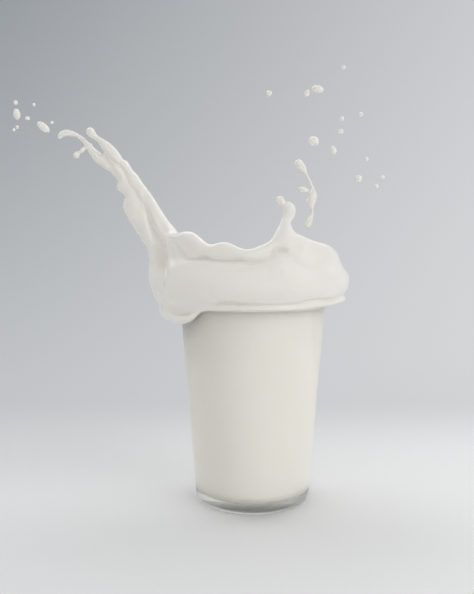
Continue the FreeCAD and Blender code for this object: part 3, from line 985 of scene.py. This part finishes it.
@dataclass
class Milk:
    """The milk: filling, crown, jet and peak in one skin, let a little way into the glass.

    Its planes are finest past the fingers' side and over their foot, fine through the splash and
    in a layer at the foot of the filling, and far apart down the plain side.
    """

    tumbler: Tumbler
    crown: Crown = field(default_factory=Crown)
    jet: Jet = field(default_factory=Jet)
    peak: Peak = field(default_factory=Peak)
    creases: tuple[Crease, ...] = (
        UNDER_THE_RIM, UNDER_THE_PEAK, SECOND_FOLD, SECOND_FOLD_RIGHT, OVER_THE_LIP, RIGHT_LIP,
        LOBE_HOLLOW, FOLD_BY_THE_JET, JET_FOLD, JET_STREAK, JET_RIDGE, FORK, *BEADS)
    grain: float = 0.87
    finer: float = 0.7
    foot_grain: float = 0.75
    side_grain: float = 4.0
    left: float = -116.0
    fingers_side: float = -74.0
    right: float = 60.0
    half_depth: float = 58.0
    foot_layer: tuple[float, float] = (-1.5, 7.5)
    side_start: float = 8.5
    side_end: float = -18.0
    splash_start: float = -15.0
    fingers_foot: float = 72.0
    highest: float = 104.0
    level: float = -9.0
    ripple: float = 0.35
    ripple_lengths: tuple[float, float] = (6.0, 7.5)
    ripple_start: float = 1.0
    clearance: float = 3.0
    over_fill: float = 8.0
    into_glass: float = 0.25
    buried: float = 2.2
    meniscus: float = 1.8

    def build(self) -> bpy.types.Object:
        """Makes the milk's mesh.

        Returns:
            The milk as one closed mesh object.
        """
        rim, foot, grain = self.tumbler.height, self.tumbler.base, self.grain
        low, high = self.foot_layer
        xs = planes((self.left, self.fingers_side, grain * self.finer),
                    (self.fingers_side, self.right, grain))
        ys = planes((-self.half_depth, self.half_depth, grain))
        zs = planes((foot + low, foot + high, self.foot_grain),
                    (foot + self.side_start, rim + self.side_end, self.side_grain),
                    (rim + self.splash_start, rim + self.fingers_foot, grain),
                    (rim + self.fingers_foot, rim + self.highest, grain * self.finer))
        liquid = LiquidField(xs, ys, zs)
        self.fill(liquid)
        self.crown.pour_into(liquid, self.tumbler)
        self.jet.pour_into(liquid, rim)
        self.peak.pour_into(liquid, rim)
        liquid.settle()
        self.leave_room_for_glass(liquid)
        skin = liquid.skin()
        skin.press(self.creases, rim)
        return skin.mesh("milk_and_splash")

    def fill(self, liquid: LiquidField) -> None:
        """Adds the milk that stands in the tumbler.

        Args:
            liquid: The field that takes the milk.
        """
        tumbler, edge = self.tumbler, self.tumbler.inside_round
        reach = tumbler.rim_radius + self.clearance
        part = liquid.window((-reach, -reach, 0.0),
                             (reach, reach, tumbler.height + self.over_fill))
        x, y, z = liquid.places(part)
        radius = np.hypot(x, y)
        beyond = radius - (tumbler.inside(z) + self.into_glass - edge)
        below = tumbler.base - self.into_glass + edge - z
        side = (np.hypot(np.maximum(beyond, 0.0), np.maximum(below, 0.0))
                + np.minimum(np.maximum(beyond, below), 0.0) - edge)
        along, across = self.ripple_lengths
        ripple = self.ripple * np.sin(x / along + self.ripple_start) * np.cos(y / across)
        over = z - (tumbler.height + self.level + ripple)
        liquid.values[part] = np.maximum(side, over)

    def leave_room_for_glass(self, liquid: LiquidField) -> None:
        """Takes the tumbler's wall out of the milk, up to where its rim is buried in the milk.

        The milk is still let a little way into the wall, so that no gap shows, and where it leaves
        the outside of the glass its edge is rounded off.

        Args:
            liquid: The field that the wall is taken out of.
        """
        tumbler = self.tumbler
        reach = tumbler.rim_radius + self.clearance + 1.0
        part = liquid.window((-reach, -reach, tumbler.height + self.side_end),
                             (reach, reach, tumbler.height + 1.0))
        x, y, z = liquid.places(part)
        radius, half = np.hypot(x, y), tumbler.wall / 2
        top = tumbler.height - self.buried - half
        middle = tumbler.outside(np.minimum(z, top)) - half
        wall = np.hypot(radius - middle, np.maximum(z - top, 0.0)) - (half - self.into_glass)
        block = liquid.values[part]
        rounded = -run_together(-block, wall, self.meniscus)
        liquid.values[part] = np.where(radius > middle, rounded, np.maximum(block, -wall))


@dataclass
class Strand:
    """The beaded thread that has come away from the milk at the right."""

    balls: tuple[Ball, ...] = (
        (25.4, -10.0, 79.3, 2.2), (27.7, -10.0, 76.6, 2.0), (29.2, -10.0, 73.9, 1.0),
        (30.9, -10.0, 71.0, 0.75), (32.6, -10.0, 67.6, 0.7), (33.6, -10.0, 64.6, 1.0),
        (33.5, -10.0, 62.0, 2.2), (33.0, -10.0, 59.6, 2.6), (32.6, -10.0, 57.2, 1.9),
        (33.2, -10.0, 54.6, 0.8), (33.4, -10.0, 52.2, 0.7), (32.9, -10.0, 49.9, 0.9),
        (31.8, -10.0, 47.6, 1.6), (30.9, -10.0, 45.2, 1.85))
    side_bump: tuple[Ball, ...] = ((32.4, -10.0, 58.8, 1.6), (30.6, -10.0, 58.2, 1.2))
    steps: int = 5
    neck: float = 1.0
    side_neck: float = 0.8
    margin: float = 2.0
    grain: float = 0.4

    def build(self, rim: float) -> bpy.types.Object:
        """Makes the strand's mesh.

        Args:
            rim: Height of the tumbler's rim.

        Returns:
            The strand as one closed mesh object.
        """
        balls = lifted(self.balls, rim)
        low = (balls[:, :3] - balls[:, 3:]).min(0) - self.margin
        high = (balls[:, :3] + balls[:, 3:]).max(0) + self.margin
        liquid = LiquidField(*(np.arange(a, b, self.grain) for a, b in zip(low, high)))
        liquid.pour([smooth_row(balls, self.steps)], self.neck)
        liquid.pour([lifted(self.side_bump, rim)], self.side_neck)
        liquid.settle()
        return liquid.skin().mesh("loose_strand")


class Side(Enum):
    """The two flights of loose drops, by the side they fly to."""

    LEFT = "left"
    RIGHT = "right"


@dataclass
class Drops:
    """Loose drops, each a slightly uneven ball drawn out along its own line.

    A drop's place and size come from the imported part. Its lean, in degrees from upright to the
    right, can't be told from a box, so the leans are kept here.
    """

    side: Side
    leans: tuple[float, ...]
    detail: int = 4
    unevenness: float = 0.06
    lumps_per_metre: float = 420.0
    seed: int = 7

    def nodes(self) -> list[str]:
        """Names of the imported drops."""
        return [f"drop_{self.side.value}_{k}" for k in range(1, len(self.leans) + 1)]

    def places(self) -> bpy.types.Mesh:
        """Reads the drops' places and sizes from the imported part.

        Returns:
            A point for each drop, with its half width, half length and lean.
        """
        centres, widths, lengths = [], [], []
        for node in self.nodes():
            low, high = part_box(node)
            half = (high - low) / 2
            centres.append((low + high) / 2)
            widths.append(half.y)
            lengths.append(math.sqrt(max(half.x**2 + half.z**2 - half.y**2, half.y**2)))
        mesh = bpy.data.meshes.new("drop_places")
        mesh.from_pydata(centres, [], [])
        turns = [math.radians(lean) for lean in self.leans]
        for label, row in (("half_width", widths), ("half_length", lengths), ("lean", turns)):
            mesh.attributes.new(label, "FLOAT", "POINT").data.foreach_set("value", row)
        return mesh

    def build(self, finish: bpy.types.Material) -> bpy.types.Object:
        """Makes the drops of one side.

        Args:
            finish: The drops' material.

        Returns:
            The drops as one mesh object.
        """
        maker = Maker(f"flight_of_drops_{self.side.value}", {
            "Detail": "Int", "Unevenness": "Float", "Seed": "Float", "Material": "Material"})
        given = maker.given
        width, length, lean = (
            maker.add("GeometryNodeInputNamedAttribute", {"Name": label}).outputs["Attribute"]
            for label in ("half_width", "half_length", "lean"))
        points = maker.add("GeometryNodeMeshToPoints", {"Mesh": given["Geometry"]}).outputs[0]
        ball = maker.add("GeometryNodeMeshIcoSphere", {"Radius": 1.0,
                                                       "Subdivisions": given["Detail"]})
        turn = maker.add("FunctionNodeEulerToRotation", {
            0: maker.add("ShaderNodeCombineXYZ", {"Y": lean}).outputs[0]}).outputs[0]
        size = maker.add("ShaderNodeCombineXYZ", {"X": width, "Y": width, "Z": length}).outputs[0]
        set_out = maker.add("GeometryNodeInstanceOnPoints", {
            "Points": points, "Instance": ball.outputs["Mesh"], "Rotation": turn, "Scale": size})
        real = maker.add("GeometryNodeRealizeInstances", {"Geometry": set_out.outputs[0]}).outputs[0]
        noise = maker.add("ShaderNodeTexNoise", {
            "Vector": maker.add("GeometryNodeInputPosition").outputs[0], "W": given["Seed"],
            "Scale": self.lumps_per_metre, "Detail": 0.0}, noise_dimensions="4D").outputs[0]
        depth = maker.combine("MULTIPLY", maker.combine("MULTIPLY", noise, given["Unevenness"]), width)
        out = maker.add("GeometryNodeInputNormal").outputs[0]
        inwards = maker.add("ShaderNodeVectorMath", {0: out, "Scale": depth}, operation="SCALE")
        offset = maker.add("ShaderNodeVectorMath", {0: (0.0, 0.0, 0.0), 1: inwards.outputs[0]},
                           operation="SUBTRACT")
        uneven = maker.add("GeometryNodeSetPosition", {"Geometry": real, "Offset": offset.outputs[0]})
        maker.end(uneven.outputs[0])
        return maker.run(f"loose_drops_{self.side.value}", self.places(), Detail=self.detail,
                         Unevenness=self.unevenness, Seed=float(self.seed), Material=finish)


# ---------------------------------------------------------------------------------------------
# Finishes
# ---------------------------------------------------------------------------------------------


class Shader(NodeWriter):
    """A material whose shader tree is written in code."""

    def __init__(self, name: str) -> None:
        """Starts an empty material.

        Args:
            name: The material's name.
        """
        self.material = bpy.data.materials.new(name)
        self.material.use_nodes = True
        super().__init__(self.material.node_tree)


@dataclass(frozen=True)
class MilkFinish:
    """Wet milk: white with a warm depth, and a soft gloss."""

    colour: Colour = (0.90, 0.868, 0.805, 1.0)
    cream: Colour = (0.915, 0.888, 0.83, 1.0)
    clouds_per_metre: float = 28.0
    depth: tuple[float, float, float] = (1.0, 0.97, 0.93)
    depth_scale: float = 0.0008
    cloudiness: float = 0.35
    gloss: float = 0.16
    edge_glow: float = 1.0
    edge_spread: float = 0.3

    def make(self) -> bpy.types.Material:
        """Builds the material.

        Returns:
            The material.
        """
        nodes = Shader("milk")
        place = nodes.add("ShaderNodeTexCoord").outputs["Object"]
        cloud = nodes.add("ShaderNodeTexNoise", {"Vector": place, "Scale": self.clouds_per_metre,
                                                 "Detail": 2.0})
        tone = nodes.blend(cloud.outputs[0], self.colour, self.cream)
        body = nodes.add("ShaderNodeBsdfPrincipled", {
            "Base Color": tone, "Roughness": self.gloss, "IOR": 1.35,
            "Subsurface Weight": self.cloudiness, "Subsurface Radius": self.depth,
            "Subsurface Scale": self.depth_scale, "Sheen Weight": self.edge_glow,
            "Sheen Roughness": self.edge_spread})
        nodes.add("ShaderNodeOutputMaterial", {"Surface": body.outputs[0]})
        return nodes.material


@dataclass(frozen=True)
class GlassFinish:
    """Clear soda glass with a faint green-grey cast, whose shadow is only a light tint."""

    tint: Colour = (0.99, 0.993, 0.987, 1.0)
    shade: Colour = (0.96, 0.965, 0.96, 1.0)
    cast: Colour = (0.86, 0.89, 0.74, 1.0)
    cast_per_metre: float = 6.0

    def make(self) -> bpy.types.Material:
        """Builds the material.

        Returns:
            The material.
        """
        nodes = Shader("clear_glass")
        body = nodes.add("ShaderNodeBsdfPrincipled", {
            "Base Color": self.tint, "Roughness": 0.0, "IOR": 1.5, "Transmission Weight": 1.0})
        through = nodes.add("ShaderNodeBsdfTransparent", {"Color": self.shade})
        path = nodes.add("ShaderNodeLightPath").outputs["Is Shadow Ray"]
        mix = nodes.add("ShaderNodeMixShader", {0: path, 1: body.outputs[0], 2: through.outputs[0]})
        depth = nodes.add("ShaderNodeVolumeAbsorption", {"Color": self.cast,
                                                         "Density": self.cast_per_metre})
        nodes.add("ShaderNodeOutputMaterial", {"Surface": mix.outputs[0], "Volume": depth.outputs[0]})
        return nodes.material


# ---------------------------------------------------------------------------------------------
# Studio
# ---------------------------------------------------------------------------------------------


@dataclass(frozen=True)
class Softbox:
    """A soft light far off: the way to it, how wide it is and how much it adds to the sky.

    Its edge and its middle are cosines of the angle from the way to it.
    """

    towards: tuple[float, float, float]
    edge: float
    middle: float
    glow: float

    def shine(self, nodes: NodeWriter, way: bpy.types.NodeSocket) -> bpy.types.NodeSocket:
        """Adds the light to a sky.

        Args:
            nodes: The sky's node tree.
            way: The direction that the sky is looked up in.

        Returns:
            What the light adds in that direction.
        """
        middle = tuple(Vector(self.towards).normalized())
        cosine = nodes.add("ShaderNodeVectorMath", {0: way, 1: middle}, operation="DOT_PRODUCT")
        return nodes.grade(cosine.outputs["Value"], self.edge, self.middle, self.glow, "SMOOTHSTEP")


@dataclass
class Studio:
    """Pale floor that sweeps up into a grey backdrop, a sky of soft lights and the camera."""

    softboxes: tuple[Softbox, ...] = (
        Softbox((0.80, -0.55, 0.48), 0.88, 0.97, 1.9),
        Softbox((-0.55, -0.80, 0.22), 0.10, 1.00, 0.55),
        Softbox((-0.45, 0.55, 0.65), 0.80, 0.95, 1.9),
        Softbox((0.45, 0.55, 0.65), 0.80, 0.95, 1.6))
    dimmest: float = 0.26
    horizon: float = 0.03
    floor_drop: float = 0.0003
    camera_at: tuple[float, float, float] = (-0.009, -0.357, 0.135)
    camera_down: float = 2.9
    lens: float = 37.27
    clip: tuple[float, float] = (0.01, 20.0)
    floor_front: float = -2.2
    floor_depth: float = 0.45
    sweep: float = 0.35
    sweep_steps: int = 12
    half_width: float = 3.0
    top: float = 0.75
    half_graded: float = 0.5
    paper_ends: tuple[float, float] = (0.07, 0.26)
    # Floor colour, left then right: the darker left is painted shade.
    paper_painted_shade: tuple[Colour, Colour] = ((0.62, 0.62, 0.625, 1.0), (0.98, 0.98, 0.97, 1.0))
    # Glow of the wall at its foot and at its top, left then right: painted light, darker to the left
    # and higher up.
    low_wall_painted_light: tuple[Colour, Colour] = ((0.49, 0.51, 0.53, 1.0), (0.69, 0.70, 0.71, 1.0))
    high_wall_painted_light: tuple[Colour, Colour] = ((0.26, 0.285, 0.305, 1.0), (0.58, 0.59, 0.61, 1.0))
    paper_roughness: float = 0.8
    sky: Colour = (0.98, 0.99, 1.0, 1.0)

    def backdrop(self) -> None:
        """Makes the floor and the backdrop as one swept sheet, whose wall gives its own light: that
        glow is painted light, darker to the left and towards the top, over a floor painted with shade,
        darker to the left.
        """
        profile = [(self.floor_front, -self.floor_drop), (self.floor_depth, -self.floor_drop)]
        for k in range(1, self.sweep_steps + 1):
            turn = math.radians(90.0 * k / self.sweep_steps)
            profile.append((self.floor_depth + self.sweep * math.sin(turn),
                            self.sweep * (1 - math.cos(turn)) - self.floor_drop))
        profile.append((self.floor_depth + self.sweep, self.top))
        points, faces = [], []
        for y, z in profile:
            points += [(-self.half_width, y, z), (self.half_width, y, z)]
        for k in range(len(profile) - 1):
            faces.append((2 * k, 2 * k + 1, 2 * k + 3, 2 * k + 2))
        mesh = bpy.data.meshes.new("studio_sweep")
        mesh.from_pydata(points, [], faces)
        mesh.shade_smooth()
        sweep = bpy.data.objects.new("studio_sweep", mesh)
        bpy.context.scene.collection.objects.link(sweep)
        nodes = Shader("studio_paper")
        nodes.material.cycles.emission_sampling = "NONE"
        place = nodes.add("ShaderNodeTexCoord").outputs["Object"]
        split = nodes.add("ShaderNodeSeparateXYZ", {0: place}).outputs
        side = nodes.grade(split["X"], -self.half_graded, self.half_graded)
        high = nodes.grade(split["Z"], 0.0, self.top)
        # Painted light: the wall glows darker to the left and towards the top.
        wall = nodes.blend(high, nodes.blend(side, *self.low_wall_painted_light),
                           nodes.blend(side, *self.high_wall_painted_light))
        back = nodes.grade(split["Y"], *self.paper_ends, kind="SMOOTHSTEP")
        glow = nodes.add("ShaderNodeEmission", {"Color": wall, "Strength": 1.0})
        # Painted shade on the floor: darker to the left, lighter to the right.
        paper_painted_shade = nodes.add("ShaderNodeBsdfPrincipled", {"Base Color": nodes.blend(side, *self.paper_painted_shade),
                                                       "Roughness": self.paper_roughness})
        body = nodes.add("ShaderNodeMixShader", {0: back, 1: paper_painted_shade.outputs[0], 2: glow.outputs[0]})
        nodes.add("ShaderNodeOutputMaterial", {"Surface": body.outputs[0]})
        mesh.materials.append(nodes.material)

    def build(self) -> None:
        """Sets up the whole studio."""
        self.backdrop()
        world = bpy.data.worlds.new("studio")
        world.use_nodes = True
        nodes = NodeWriter(world.node_tree)
        way = nodes.add("ShaderNodeTexCoord").outputs["Object"]
        total = nodes.add("ShaderNodeValue").outputs[0]
        total.default_value = self.dimmest
        for softbox in self.softboxes:
            total = nodes.combine("ADD", total, softbox.shine(nodes, way))
        height = nodes.add("ShaderNodeSeparateXYZ", {0: way}).outputs["Z"]
        lit = nodes.combine("MULTIPLY", total, nodes.grade(height, -self.horizon, self.horizon))
        sky = nodes.add("ShaderNodeBackground", {"Color": self.sky, "Strength": lit})
        nodes.add("ShaderNodeOutputWorld", {"Surface": sky.outputs[0]})
        bpy.context.scene.world = world
        bpy.context.scene.view_settings.view_transform = "Standard"
        bpy.context.scene.cycles.denoising_input_passes = "RGB_ALBEDO"
        camera = bpy.data.objects.new("camera", bpy.data.cameras.new("camera"))
        camera.data.lens = self.lens
        camera.data.clip_start, camera.data.clip_end = self.clip
        camera.location = self.camera_at
        camera.rotation_euler = (math.radians(90.0 - self.camera_down), 0.0, 0.0)
        bpy.context.scene.collection.objects.link(camera)
        bpy.context.scene.camera = camera


def main() -> None:
    """Builds every piece in order, dresses it and sets up the studio."""
    logging.basicConfig(level=logging.INFO, format="%(name)s: %(message)s")
    tumbler = Tumbler.measured("glass")
    white, clear = MilkFinish().make(), GlassFinish().make()
    pieces = [(TurnedGlass(tumbler).build(clear), ["glass"], "glass"),
              (Milk(tumbler).build(), ["milk"], "milk"),
              (Strand().build(tumbler.height), ["strand"], "milk")]
    for flight in (Drops(Side.LEFT, (-6, -52, 0, 90, 0, 30, 0, 0)),
                   Drops(Side.RIGHT, (96, 100, 0, -20, 108, 20, 80, 80, -35, 0, 0, 0, 0, -40))):
        pieces.append((flight.build(white), flight.nodes(), "milk"))
    for piece, replaced, slot in pieces:
        if not piece.data.materials:
            piece.data.materials.append(white)
        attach(piece, "root")
        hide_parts(*replaced)
        LOG.info("%s: %d faces", piece.name, len(piece.data.polygons))
    Studio().build()


if __name__ == "__main__":
    main()
